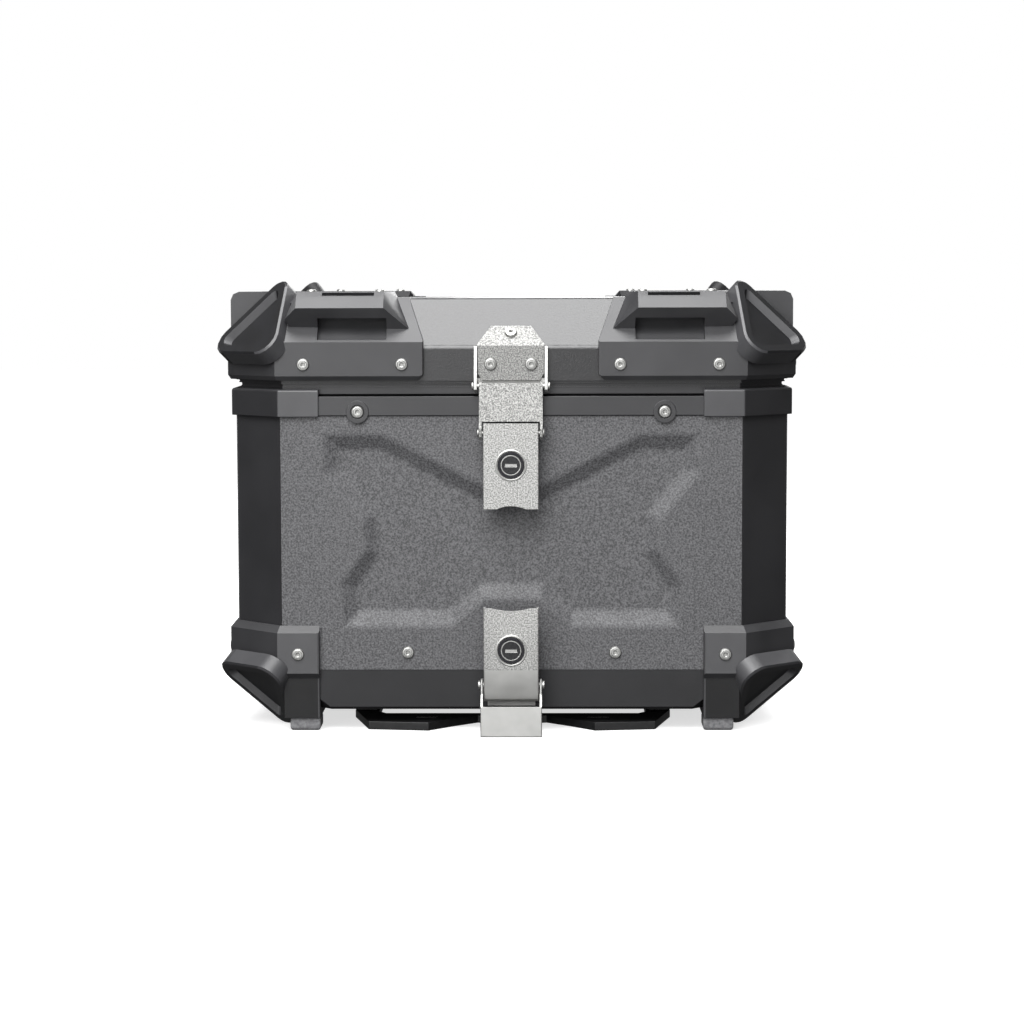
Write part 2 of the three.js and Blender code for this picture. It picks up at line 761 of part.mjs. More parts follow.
function latchLever() {
  const top = 220.9;
  const bottom = 160;
  const plate = box(-LATCH_HALF, LATCH_HALF, front(-10), front(-8.5), bottom, top);
  const cheeks = [-1, 1].map((s) =>
    prismX(
      sideView([
        [-10, bottom],
        [-10, top],
        [-2.5, 218],
        [-2.5, 208],
        [-1, 203],
        [-1, bottom + 8],
        [-4, bottom],
      ]),
      Math.min(s * 18, s * LATCH_HALF),
      Math.max(s * 18, s * LATCH_HALF),
    ),
  );
  const scoop = rod("y", 26, front(-12), front(-8), [0, bottom - 23.4], 48);
  const lockHole = rod("y", LOCK_R + 0.35, front(-12), front(-8), [0, UPPER_LOCK.z], 32);
  const bore = rod("x", 2.1, -30, 30, [LEVER_PIVOT.y, LEVER_PIVOT.z], 20);
  return cut(join(plate, ...cheeks), scoop, lockHole, bore);
}

// ---------- locks ----------
// The lock's sleeve in its lever: a flanged tube whose flange stands proud of the lever's face.
function lockSleeve(lock, length) {
  const tube = rod("y", LOCK_R, lock.y - 1, lock.y + length, [0, lock.z], 32);
  const collar = rod("y", 11, lock.y + 1.9, lock.y + 4.4, [0, lock.z], 32);
  const bore = rod("y", 7.6, lock.y - 3, lock.y + length + 1, [0, lock.z], 32);
  return join(tube, collar).subtract(bore);
}

function lockBarrel(lock, length) {
  const barrel = rod("y", 7.2, lock.y - 0.8, lock.y + length, [0, lock.z], 32);
  const keyway = box(-4, 4, lock.y - 2, lock.y + 5, lock.z - 0.8, lock.z + 0.8);
  return barrel.subtract(keyway);
}

function lockCam(lock, length, radius) {
  const y0 = lock.y + length + GAP;
  const blade = box(0, radius, y0, y0 + 1.6, lock.z - 2.5, lock.z + 2.5);
  return blade.add(rod("y", 5, y0, y0 + 1.6, [0, lock.z], 20));
}

// The keeper that a lock's cam turns behind: an arch that stands out from the front panel.
function keeper(y0, z0, z1) {
  const panel = -BODY.y - GAP;
  const arch = box(-11.5, 11.5, y0, y0 + 1.5, z0, z1);
  const legs = [-1, 1].map((s) => box(Math.min(s * 10, s * 11.5), Math.max(s * 10, s * 11.5), y0, panel, z0, z1));
  const feet = [-1, 1].map((s) =>
    box(Math.min(s * 10, s * 17), Math.max(s * 10, s * 17), panel - 1.5, panel, z0, z1),
  );
  return join(arch, ...legs, ...feet);
}

// ---------- lower latch ----------
function lowerBracket() {
  const back = TRAY.y + GAP;
  const plate = box(-17, 17, -back - 2, -back, 18.5, 42.5);
  const ears = [-1, 1].map((s) =>
    prismX(
      [
        [-back, 30],
        [-back, 42],
        [FULCRUM.y - 1, 35],
        [FULCRUM.y - 4, 32],
        [FULCRUM.y - 4, 28.6],
        [FULCRUM.y - 2, 26],
        [FULCRUM.y + 1.5, 26],
        [FULCRUM.y + 4, 29],
      ],
      Math.min(s * 15, s * 17),
      Math.max(s * 15, s * 17),
    ),
  );
  return join(plate, ...ears).subtract(rod("x", 2.1, -30, 30, [FULCRUM.y, FULCRUM.z], 20));
}

function lowerLever() {
  const top = 91;
  const bend = 47;
  const plate = prismX(
    sideView([
      [-18, top],
      [-18, bend],
      [-12.4, 25.5],
      [-10.8, 23.8],
      [-9.6, 24.6],
      [-10.9, 26.2],
      [-16.5, bend + 0.4],
      [-16.5, top],
    ]),
    -LATCH_HALF,
    LATCH_HALF,
  );
  const cheeks = [-1, 1].map((s) =>
    prismX(
      sideView([
        [-18, top],
        [-18, bend],
        [-12.4, 25.5],
        [-10.8, 23.8],
        [-4, 24.5],
        [-2, 27],
        [-2, 33],
        [-5, 45],
        [-5, 80],
        [-9, top],
      ]),
      Math.min(s * 18, s * LATCH_HALF),
      Math.max(s * 18, s * LATCH_HALF),
    ),
  );
  const studs = [-1, 1].flatMap((s) => [
    rod("x", 1.8, Math.min(s * 18.5, s * 23), Math.max(s * 18.5, s * 23), [JAW_PIVOT.y, JAW_PIVOT.z], 20),
    rod("x", 2.9, Math.min(s * 22.2, s * 23.4), Math.max(s * 22.2, s * 23.4), [JAW_PIVOT.y, JAW_PIVOT.z], 20),
  ]);
  const scoop = rod("y", 48, front(-20), front(-16), [0, top + 46], 64);
  const lockHole = rod("y", LOCK_R + 0.35, front(-20), front(-15), [0, LOWER_LOCK.z], 32);
  const bore = rod("x", 2.1, -30, 30, [FULCRUM.y, FULCRUM.z], 20);
  return cut(join(plate, ...cheeks, ...studs), scoop, lockHole, bore);
}

function lowerJaw() {
  const half = 21.7;
  const channel = prismX(
    sideView([
      [-24, 0.2],
      [-24, 21.7],
      [-22.4, 21.7],
      [-22.4, 2],
      [-7, 2],
      [-7, 0.2],
    ]),
    -half,
    half,
  );
  const arms = [-1, 1].map((s) =>
    prismX(
      sideView([
        [-24, 0.2],
        [-24, 21.7],
        [-14, 29],
        [-12.8, 39.6],
        [-7.6, 39.6],
        [-7, 20],
        [-7, 0.2],
      ]),
      Math.min(s * 20.1, s * half),
      Math.max(s * 20.1, s * half),
    ),
  );
  return join(channel, ...arms).subtract(rod("x", 2.15, -30, 30, [JAW_PIVOT.y, JAW_PIVOT.z], 20));
}

// ---------- carrier plate ----------
function carrierPlate() {
  const top = 6;
  const outline = mirrorX([
    [17, -14],
    [17, 36],
    [25, 38],
    [42.5, 22],
    [59.6, 4],
    [103, 10],
    [116, 62],
    [116, 176],
    [92, 210],
    [30, 218],
  ]).map(([x, v]) => [x, front(v)]);
  const window = mirrorX([
    [92, 46],
    [98, 54],
    [98, 134],
    [80, 146],
  ]).map(([x, v]) => [x, front(v)]);
  const made = cut(
    prismZ(outline, 0, top),
    prismZ(window, -1, top + 1),
    box(-30, 30, front(-30), front(-2), -1, 3.4),
    box(-60, 60, front(205), front(230), -1, 3.4),
    ...[-1, 1].flatMap((s) =>
      [186, 28].map((v) => box(s * 62 - 8, s * 62 + 8, front(v) - 3.2, front(v) + 3.2, -1, top + 1)),
    ),
  );
  const pads = [-1, 1].flatMap((s) => [
    box(Math.min(s * 99.5, s * 114), Math.max(s * 99.5, s * 114), front(58), front(84), top - 1, TRAY_BOTTOM - GAP),
    box(Math.min(s * 84, s * 100), Math.max(s * 84, s * 100), front(176), front(194), top - 1, TRAY_BOTTOM - GAP),
  ]);
  return join(made, ...pads);
}

function rearHook() {
  return prismX(
    sideView([
      [207, 0.6],
      [220.5, 0.6],
      [220.5, TRAY_BOTTOM - GAP],
      [204, TRAY_BOTTOM - GAP],
      [204, 12.6],
      [218.4, 12.6],
      [218.4, 3],
      [207, 3],
    ]),
    12,
    28,
  );
}

// ---------- assembly ----------
add("base_tray", baseTray(), "plastic");
const matBottom = TRAY_BOTTOM + 3 + GAP;
add("floor_mat", slab(inset(trayPlan(matBottom, -4.5), 1), matBottom, 21.5), "rubber");
const longPanel = wallPanel(PANEL_EDGE.x, 1);
const shortPanel = wallPanel(PANEL_EDGE.y, 0.745);
add("rear_panel", turned(longPanel, 0, 0, BODY.y), "powder");
add("front_panel", turned(longPanel, Math.PI, 0, -BODY.y), "powder");
add("left_panel", turned(shortPanel, Math.PI / 2, -BODY.x, 0), "powder");
add("right_panel", turned(shortPanel, -Math.PI / 2, BODY.x, 0), "powder");
addCorners("corner_post", cornerPost(), "plastic");
add("top_rail", topRail(), "plastic");
addCorners("rim_cap", rimCap(), "guard");
addCorners("lower_guard", lowerGuard(), "guard");
addCorners("foot", foot(), "rubber");
add("lid_skin", lidSkin(), "powder");
add("lid_rim", lidRim(), "plastic");
add("lid_seal", lidSeal(), "rubber");
addCorners("upper_guard", upperGuard(), "guard");
addSides("hinge_base", hingeBase(), "steel");
addSides("hinge_leaf", hingeLeaf(), "steel");
addSides("hinge_pin", hingePin(), "zinc");
add("latch_hood", latchHood(), "steel");
add("latch_bracket", latchBracket(), "steel");
addSides("link_pin", linkPin(), "zinc");
add("latch_link", latchLink(), "steel");
add("lever_pin", crossPin(LEVER_PIVOT, 23.6), "zinc");
add("latch_lever", latchLever(), "steel");
add("upper_lock_sleeve", lockSleeve(UPPER_LOCK, 8), "zinc");
add("upper_lock_barrel", lockBarrel(UPPER_LOCK, 8), "zinc");
add("upper_lock_cam", lockCam(UPPER_LOCK, 8, CAM_R.upper), "zinc");
add("upper_keeper", keeper(front(-4.4), 172, 181), "steel");
add("lower_bracket", lowerBracket(), "steel");
add("fulcrum_pin", rod("x", 1.8, -19.8, 19.8, [FULCRUM.y, FULCRUM.z], 20), "zinc");
add("lower_lever", lowerLever(), "steel");
add("lower_lock_sleeve", lockSleeve(LOWER_LOCK, 8), "zinc");
add("lower_lock_barrel", lockBarrel(LOWER_LOCK, 8), "zinc");
add("lower_lock_cam", lockCam(LOWER_LOCK, 8, CAM_R.lower), "zinc");
add("lower_keeper", keeper(front(-12.4), 73.5, 83), "steel");
add("lower_jaw", lowerJaw(), "steel");
addSides("rear_hook", rearHook(), "steel");
add("carrier_plate", carrierPlate(), "plate");

export default topCase;
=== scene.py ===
# A motorcycle top case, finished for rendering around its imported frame. Lengths are in metres.
import json
import math

import bmesh
import bpy
from mathutils import Matrix, Vector
from mathutils.geometry import intersect_point_tri

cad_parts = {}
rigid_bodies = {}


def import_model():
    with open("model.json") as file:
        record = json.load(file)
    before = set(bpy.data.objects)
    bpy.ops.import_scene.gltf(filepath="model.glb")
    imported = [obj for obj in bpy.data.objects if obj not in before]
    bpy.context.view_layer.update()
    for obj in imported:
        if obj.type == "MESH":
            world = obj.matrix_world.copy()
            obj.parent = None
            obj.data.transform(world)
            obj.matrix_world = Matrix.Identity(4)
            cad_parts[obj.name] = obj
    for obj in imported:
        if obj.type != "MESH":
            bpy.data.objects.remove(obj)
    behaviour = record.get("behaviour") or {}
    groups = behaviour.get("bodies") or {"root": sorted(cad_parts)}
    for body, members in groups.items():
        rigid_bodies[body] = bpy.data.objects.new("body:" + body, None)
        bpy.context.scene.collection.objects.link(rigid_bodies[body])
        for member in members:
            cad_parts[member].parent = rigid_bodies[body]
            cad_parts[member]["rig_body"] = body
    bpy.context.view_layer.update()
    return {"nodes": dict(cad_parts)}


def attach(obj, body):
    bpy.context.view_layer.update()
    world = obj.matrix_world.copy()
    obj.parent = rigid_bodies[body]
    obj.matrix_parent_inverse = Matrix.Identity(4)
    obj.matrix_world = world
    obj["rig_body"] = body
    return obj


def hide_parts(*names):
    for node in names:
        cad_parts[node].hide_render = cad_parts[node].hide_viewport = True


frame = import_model()

MM = 0.001
NODES = frame["nodes"]
CORNERS = ("front_left", "front_right", "rear_left", "rear_right")
SIDES = ("left", "right")
PANELS = ("front_panel", "rear_panel", "left_panel", "right_panel")

# Where the guards' pads and the panels lie from the case's middle, in millimetres.
PAD_X, PAD_Y = 204.5, 163
PANEL_X, PANEL_Y = 199, 157.5
# The angles in degrees between two faces from which an edge is shaded sharp, and from which it is rounded.
SMOOTH_BELOW = 30
CORNER_ABOVE = 28
# How bright the room is to the object, where the white that the camera sees is 1.
ROOM_LIGHT = 0.09


# ---------- camera, floor and light ----------
def camera():
    """A long lens just above the rim's level, a little to the right of the case's middle."""
    eye = bpy.data.objects.new("camera", bpy.data.cameras.new("camera"))
    eye.data.lens = 90.1
    eye.data.sensor_width = 36
    pitch, yaw, roll = math.radians(5.0), math.radians(0.74), math.radians(0.13)
    place = Matrix.Translation((0.024, -1.973, 0.316))
    turn = Matrix.Rotation(yaw, 4, "Z") @ Matrix.Rotation(math.pi / 2 - pitch, 4, "X")
    eye.matrix_world = place @ turn @ Matrix.Rotation(-roll, 4, "Z")
    bpy.context.scene.collection.objects.link(eye)
    bpy.context.scene.camera = eye


def softbox(name, place, target, size, power):
    """A rectangular softbox at a place, facing a target."""
    data = bpy.data.lights.new(name, "AREA")
    data.shape = "RECTANGLE"
    data.size, data.size_y = size
    data.energy = power
    lamp = bpy.data.objects.new(name, data)
    aim = Vector(target) - Vector(place)
    lamp.matrix_world = Matrix.Translation(place) @ aim.to_track_quat("-Z", "Y").to_matrix().to_4x4()
    lamp.visible_camera = False
    bpy.context.scene.collection.objects.link(lamp)


def lights():
    """A key over the latches, softer lights in front and above, and fills behind and at the sides."""
    middle = (0, 0, 0.2)
    softbox("key_softbox", (-0.3, -1.3, 1.5), (0, 0, 0.24), (1.5, 1.0), 58)
    softbox("front_softbox", (-0.7, -2.4, 0.9), middle, (1.5, 1.0), 27)
    softbox("overhead_softbox", (0, -0.12, 1.7), (0, 0, 0.3), (1.5, 0.9), 40)
    softbox("floor_bounce", (0, -0.75, 0.03), (0, -0.15, 0.3), (1.8, 0.5), 3.3)
    softbox("rear_fill", (0.5, 1.9, 1.2), middle, (1.4, 1.0), 30)
    softbox("left_fill", (-2.2, 1.6, 0.8), middle, (0.9, 0.9), 10)
    softbox("right_fill", (2.2, 1.6, 0.8), middle, (0.9, 0.9), 10)


def room():
    """A dim even room light, with white behind the object."""
    world = bpy.data.worlds.new("studio")
    bpy.context.scene.world = world
    world.use_nodes = True
    nodes, links = world.node_tree.nodes, world.node_tree.links
    background = nodes["Background"]
    background.inputs["Color"].default_value = (1, 1, 1, 1)
    seen = nodes.new("ShaderNodeLightPath")
    level = nodes.new("ShaderNodeMapRange")
    level.inputs["To Min"].default_value = ROOM_LIGHT
    level.inputs["To Max"].default_value = 1.0
    links.new(seen.outputs["Is Camera Ray"], level.inputs["Value"])
    links.new(level.outputs["Result"], background.inputs["Strength"])
    bpy.context.scene.view_settings.view_transform = "Standard"


def floor():
    """A wide floor under the case, whose glow is painted light. It lights nothing itself: the floor bounce
    does that.
    """
    bm = bmesh.new()
    bmesh.ops.create_grid(bm, x_segments=2, y_segments=2, size=8)
    ground = piece_of(bm, "floor", glowing_floor())
    ground.visible_diffuse = False
    ground.visible_glossy = False


# ---------- materials ----------
# Blasting pits and moulded spark textures are a few tenths of a millimetre across on the real finishes.
# They are drawn at 0.6 to 1.3 mm, so that they show.
def linear(hex_colour):
    """An sRGB hex colour as linear RGBA."""
    parts = [int(hex_colour[i : i + 2], 16) / 255 for i in (1, 3, 5)]
    return [c / 12.92 if c <= 0.04045 else ((c + 0.055) / 1.055) ** 2.4 for c in parts] + [1]


def add_node(material, kind, inputs=None, **settings):
    """Adds a node to a material, with its settings, and its inputs as values or as sockets to link."""
    node = material.node_tree.nodes.new("ShaderNode" + kind)
    for name, value in settings.items():
        setattr(node, name, value)
    for name, value in (inputs or {}).items():
        if isinstance(value, bpy.types.NodeSocket):
            material.node_tree.links.new(value, node.inputs[name])
        else:
            node.inputs[name].default_value = value
    return node


def new_material(name, **values):
    """A material and its Principled shader, whose sockets are set by name with underscores for spaces."""
    material = bpy.data.materials.new(name)
    material.use_nodes = True
    shader = material.node_tree.nodes["Principled BSDF"]
    for socket, value in values.items():
        shader.inputs[socket.replace("_", " ")].default_value = value
    return material, shader


def grain(material, size, detail=2.0):
    """Noise whose grains are about this many metres across, on the object's own coordinates."""
    place = add_node(material, "TexCoord").outputs["Object"]
    noise = {"Vector": place, "Scale": 1 / size, "Detail": detail, "Roughness": 0.55}
    return add_node(material, "TexNoise", noise).outputs["Fac"]


def shade(material, factor, dark, light, low=0.3, high=0.7):
    """A colour that runs from dark to light as the factor goes from low to high."""
    limits = {"Value": factor, "From Min": low, "From Max": high}
    share = add_node(material, "MapRange", limits).outputs["Result"]
    mix = add_node(material, "Mix", {0: share, 6: linear(dark), 7: linear(light)}, data_type="RGBA")
    return mix.outputs[2]


def spread(material, factor, least, most, low=0.3, high=0.7):
    """A number that runs from least to most as the factor goes from low to high."""
    limits = {"Value": factor, "From Min": low, "From Max": high, "To Min": least, "To Max": most}
    return add_node(material, "MapRange", limits).outputs["Result"]


def relief(material, shader, height, depth, strength=1.0):
    """Gives the surface a relief of this depth in metres."""
    bump = add_node(material, "Bump", {"Height": height, "Distance": depth, "Strength": strength})
    material.node_tree.links.new(bump.outputs["Normal"], shader.inputs["Normal"])


def link(material, output, shader, socket):
    """Feeds one of the shader's sockets from a node's output."""
    material.node_tree.links.new(output, shader.inputs[socket])


def powder_coat():
    """Textured polyester powder coat on aluminium sheet: charcoal, with pebbles about 1.3 mm across."""
    material, shader = new_material("powder_coat_textured", Roughness=0.58, IOR=1.5)
    pebble = grain(material, 1.3 * MM, 3.0)
    cloud = grain(material, 60 * MM)
    link(material, shade(material, pebble, "#29292B", "#565658", 0.36, 0.64), shader, "Base Color")
    link(material, spread(material, cloud, 0.54, 0.64), shader, "Roughness")
    relief(material, shader, pebble, 0.16 * MM)
    return material


def powder_coat_lid():
    """The same powder coat on the lid, darker and a little glossier, so that its slopes catch the light."""
    gloss = {"Roughness": 0.32, "IOR": 1.5, "Specular_IOR_Level": 0.6}
    material, shader = new_material("powder_coat_lid", **gloss)
    pebble = grain(material, 1.5 * MM)
    link(material, shade(material, pebble, "#101011", "#1D1D1F"), shader, "Base Color")
    relief(material, shader, pebble, 0.14 * MM)
    return material


def nylon_guard():
    """Glass-filled nylon, injection moulded with a satin texture: near black, with a soft even sheen."""
    material, shader = new_material("nylon_moulded_satin", IOR=1.53)
    spark = grain(material, 0.7 * MM)
    flow = grain(material, 35 * MM)
    link(material, shade(material, flow, "#232325", "#2B2B2D"), shader, "Base Color")
    link(material, spread(material, flow, 0.42, 0.5), shader, "Roughness")
    relief(material, shader, spark, 0.02 * MM)
    return material


def nylon_horn_shade():
    """A darker copy of the guards' nylon, painted shade on the horns: nearly black, with a low sheen."""
    gloss = {"Roughness": 0.5, "IOR": 1.53, "Specular_IOR_Level": 0.22}
    material, shader = new_material("nylon_horn_painted_shade", **gloss)
    spark = grain(material, 0.7 * MM)
    link(material, shade(material, grain(material, 20 * MM), "#121213", "#18181A"), shader, "Base Color")
    relief(material, shader, spark, 0.015 * MM)
    return material


def nylon_leg_shade():
    """A darker copy of the same nylon with a coarse moulded texture: dull, with painted shade so that it
    stays dark under the pad.
    """
    gloss = {"Roughness": 0.7, "IOR": 1.53, "Specular_IOR_Level": 0.3}
    material, shader = new_material("nylon_coarse_painted_shade", **gloss)
    spark = grain(material, 1.0 * MM)
    link(material, shade(material, grain(material, 30 * MM), "#0E0E0F", "#141415"), shader, "Base Color")
    relief(material, shader, spark, 0.05 * MM)
    return material


def nylon_lit_satin():
    """A lighter copy of the guards' nylon, moulded in a dry satin: painted light on the rim caps' faces,
    the lower guards' pads and the bands in the horns' recesses.
    """
    material, shader = new_material("nylon_satin_painted_light", Roughness=0.46, IOR=1.53)
    spark = grain(material, 0.7 * MM)
    link(material, shade(material, grain(material, 25 * MM), "#323234", "#3A3A3C"), shader, "Base Color")
    relief(material, shader, spark, 0.025 * MM)
    return material


def nylon_frame():
    """The frame's nylon, extruded posts and rails: darker and smoother than the guards."""
    material, shader = new_material("nylon_frame_satin", Roughness=0.42, IOR=1.53)
    spark = grain(material, 0.8 * MM)
    flow = grain(material, 50 * MM)
    link(material, shade(material, flow, "#1D1D1F", "#252527"), shader, "Base Color")
    relief(material, shader, spark, 0.015 * MM)
    return material


def polypropylene_tray():
    """Polypropylene, moulded: a dull near-black base tray with a fine texture."""
    gloss = {"Roughness": 0.62, "IOR": 1.49, "Specular_IOR_Level": 0.4}
    material, shader = new_material("polypropylene_moulded", **gloss)
    spark = grain(material, 0.9 * MM)
    link(material, shade(material, grain(material, 40 * MM), "#131315", "#1A1A1C"), shader, "Base Color")
    relief(material, shader, spark, 0.03 * MM)
    return material


def foot_rubber():
    """Natural rubber, moulded: dull dark grey feet, lighter where they are scuffed."""
    material, shader = new_material("rubber_moulded_grey", Roughness=0.7, IOR=1.52)
    scuff = grain(material, 2.5 * MM, 4.0)
    link(material, shade(material, scuff, "#48484A", "#707072"), shader, "Base Color")
    relief(material, shader, scuff, 0.1 * MM)
    return material


def seal_rubber():
    """EPDM foam rubber, extruded: a matt black seal."""
    material, shader = new_material("rubber_seal_black", Roughness=0.85, IOR=1.5)
    cells = grain(material, 1.2 * MM)
    link(material, shade(material, cells, "#141415", "#1F1F20"), shader, "Base Color")
    relief(material, shader, cells, 0.1 * MM)
    return material


def mat_rubber():
    """Ribbed rubber floor mat: matt charcoal, dusty in its grain."""
    material, shader = new_material("rubber_mat_ribbed", Roughness=0.8, IOR=1.5)
    dust = grain(material, 8 * MM, 4.0)
    link(material, shade(material, dust, "#232324", "#333335"), shader, "Base Color")
    relief(material, shader, grain(material, 1.0 * MM), 0.05 * MM)
    return material


def steel_blasted(name, dark, light):
    """Stainless sheet, bead blasted: light grey metal whose fine pits scatter the light into a sparkle."""
    material, shader = new_material(name, Metallic=1.0)
    pits = grain(material, 1.0 * MM, 3.0)
    link(material, shade(material, pits, dark, light, 0.38, 0.62), shader, "Base Color")
    link(material, spread(material, pits, 0.74, 0.64), shader, "Roughness")
    relief(material, shader, pits, 0.07 * MM)
    return material


def steel_satin():
    """Stainless sheet, tumbled: smooth light grey with a very fine grain."""
    material, shader = new_material("stainless_tumbled_satin", Metallic=1.0)
    cloud = grain(material, 14 * MM)
    link(material, shade(material, cloud, "#ABABA9", "#B8B8B6"), shader, "Base Color")
    link(material, spread(material, cloud, 0.5, 0.56), shader, "Roughness")
    relief(material, shader, grain(material, 0.6 * MM), 0.006 * MM)
    return material


def steel_turned():
    """Bright zinc-plated steel, turned and headed: screws, rivets and pins."""
    material, shader = new_material("steel_zinc_plated", Metallic=1.0)
    rings = grain(material, 0.9 * MM)
    link(material, shade(material, rings, "#8A8A88", "#AEAEAC"), shader, "Base Color")
    link(material, spread(material, rings, 0.42, 0.52), shader, "Roughness")
    relief(material, shader, rings, 0.01 * MM)
    return material


def lock_zinc():
    """Die-cast zinc, nickel plated and tumbled: a mid-grey lock barrel."""
    material, shader = new_material("zinc_die_cast_nickel", Metallic=1.0)
    cast = grain(material, 1.0 * MM)
    link(material, shade(material, cast, "#2C2C2D", "#3B3B3C"), shader, "Base Color")
    link(material, spread(material, cast, 0.38, 0.5), shader, "Roughness")
    relief(material, shader, cast, 0.015 * MM)
    return material


def lock_sleeve_black():
    """Die-cast zinc, black plated: the sleeve round a lock."""
    material, shader = new_material("zinc_die_cast_black", Roughness=0.4, Metallic=0.6)
    cast = grain(material, 1.0 * MM)
    link(material, shade(material, cast, "#17171A", "#26262A"), shader, "Base Color")
    relief(material, shader, cast, 0.015 * MM)
    return material


def plate_black():
    """Steel plate, pressed and painted satin black."""
    gloss = {"Roughness": 0.42, "IOR": 1.5, "Specular_IOR_Level": 0.3}
    material, shader = new_material("steel_painted_black", **gloss)
    peel = grain(material, 3.0 * MM)
    link(material, shade(material, peel, "#0E0E0F", "#171718"), shader, "Base Color")
    relief(material, shader, peel, 0.03 * MM)
    return material


def glowing_floor():
    """Pale acrylic with a painted glow that grows with distance: pale by the object, with a soft shadow,
    and white further off.
    """
    material, shader = new_material("acrylic_floor_painted_glow", Roughness=0.6, IOR=1.49)
    place = add_node(material, "TexCoord").outputs["Object"]
    away = add_node(material, "VectorMath", {0: place}, operation="LENGTH").outputs["Value"]
    link(material, shade(material, grain(material, 0.4), "#B4B4B4", "#BCBCBC"), shader, "Base Color")
    # Painted glow: the emission rises from 0.66 by the case to 1.0 two metres off, so the far floor shows
    # white.
    link(material, spread(material, away, 0.66, 1.0, 0.4, 2.0), shader, "Emission Strength")
    shader.inputs["Emission Color"].default_value = (1, 1, 1, 1)
    return material


# ---------- mesh helpers ----------
def piece_of(bm, name, material):
    """A finished piece from a bmesh: smooth shaded up to a crease, with its flat faces kept flat."""
    mesh = bpy.data.meshes.new(name)
    bm.to_mesh(mesh)
    bm.free()
    mesh.materials.append(material)
    mesh.shade_smooth()
    mesh.set_sharp_from_angle(angle=math.radians(SMOOTH_BELOW))
    piece = bpy.data.objects.new(name, mesh)
    bpy.context.scene.collection.objects.link(piece)
    even = piece.modifiers.new("flat_faces", "WEIGHTED_NORMAL")
    even.keep_sharp = True
    return piece


def merged(node):
    """A copy of a CAD node's mesh, its triangles merged and each flat face made one."""
    bm = bmesh.new()
    bm.from_mesh(NODES[node].data)
    bmesh.ops.remove_doubles(bm, verts=bm.verts, dist=0.01 * MM)
    bmesh.ops.dissolve_limit(bm, angle_limit=math.radians(1), verts=bm.verts, edges=bm.edges)
    return bm


def round_edges(bm, edges, width, segments):
    """Rounds edges, each cut back by this width in metres on both its faces."""
    bmesh.ops.bevel(
        bm,
        geom=edges,
        offset=width,
        offset_type="OFFSET",
        segments=segments,
        profile=0.5,
        affect="EDGES",
        clamp_overlap=True,
        material=-1,
    )


def turns(edge):
    """The angle in degrees between an edge's two faces."""
    return math.degrees(edge.calc_face_angle(0)) if edge.is_manifold else 0


def corners_of(bm):
    """The edges where a shape's faces meet at a plain corner, not along a soft fold."""
    return [e for e in bm.edges if turns(e) > CORNER_ABOVE]


def stand_in(node, bm, material):
    """The finished piece that stands for a CAD node, on its body."""
    piece = piece_of(bm, node + "_finished", material)
    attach(piece, NODES[node]["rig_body"])
    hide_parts(node)
    return piece


def softened(node, material, width, segments=2):
    """A CAD node's finished copy, with every corner rounded."""
    bm = merged(node)
    round_edges(bm, corners_of(bm), width, segments)
    stand_in(node, bm, material)


def added(bm, name, body, material):
    """A small piece with no CAD node of its own, on a body."""
    piece = piece_of(bm, name, material)
    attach(piece, body)


def facing(place, direction):
    """The place, in millimetres, and turn of a shape made standing on the ground."""
    turn = Vector(direction).to_track_quat("Z", "Y").to_matrix().to_4x4()
    return Matrix.Translation(Vector(place) * MM) @ turn


def turned(bm, outline, steps=24):
    """Adds a shape turned about z from an outline of (radius, height) pairs in millimetres."""
    points = [bm.verts.new((radius * MM, 0, height * MM)) for radius, height in outline]
    edges = [bm.edges.new(pair) for pair in zip(points, points[1:])]
    turn = {"axis": (0, 0, 1), "cent": (0, 0, 0), "angle": math.tau, "steps": steps, "use_merge": True}
    bmesh.ops.spin(bm, geom=points + edges, **turn)
    bmesh.ops.remove_doubles(bm, verts=bm.verts, dist=0.005 * MM)


def closed(bm):
    """Closes a shape's open ends, and points its faces outwards."""
    bmesh.ops.holes_fill(bm, edges=[e for e in bm.edges if e.is_boundary], sides=0)
    bmesh.ops.recalc_face_normals(bm, faces=bm.faces)


def closed_ring(bm):
    """Joins the first and last circle of a turned outline, so that it is a closed ring."""
    bmesh.ops.bridge_loops(bm, edges=[e for e in bm.edges if e.is_boundary])
    bmesh.ops.recalc_face_normals(bm, faces=bm.faces)


def block(bm, low, high):
    """Adds a box between two corners in millimetres, and gives its corners."""
    size = [b - a for a, b in zip(low, high)]
    middle = [(a + b) / 2 for a, b in zip(low, high)]
    place = Matrix.Translation(Vector(middle) * MM) @ Matrix.Diagonal((*[s * MM for s in size], 1))
    return bmesh.ops.create_cube(bm, size=1, matrix=place)["verts"]


def mesh_of(bm, name):
    """A plain mesh from a bmesh, to be copied to many places."""
    mesh = bpy.data.meshes.new(name)
    bm.to_mesh(mesh)
    bm.free()
    return mesh


def placed(bm, part, matrix):
    """Adds a copy of a small mesh to a bmesh, moved to its place."""
    before = len(bm.verts)
    bm.from_mesh(part)
    bm.verts.ensure_lookup_table()
    bmesh.ops.transform(bm, matrix=matrix, verts=bm.verts[before:])


def copies(name, part, spots, body, slot, material):
    """One piece made of copies of a small mesh, each at a place in millimetres and facing a direction."""
    bm = bmesh.new()
    for place, direction in spots:
        placed(bm, part, facing(place, direction))
    added(bm, name, body, material)


def outward(axis, x, y, z):
    """The four mirrored places of a screw, each facing outwards along x or y."""
    signs = [(sx, sy) for sx in (-1, 1) for sy in (-1, 1)]
    return [((sx * x, sy * y, z), (sx, 0, 0) if axis == "x" else (0, sy, 0)) for sx, sy in signs]


# ---------- studio and finishes ----------
camera()
lights()
room()

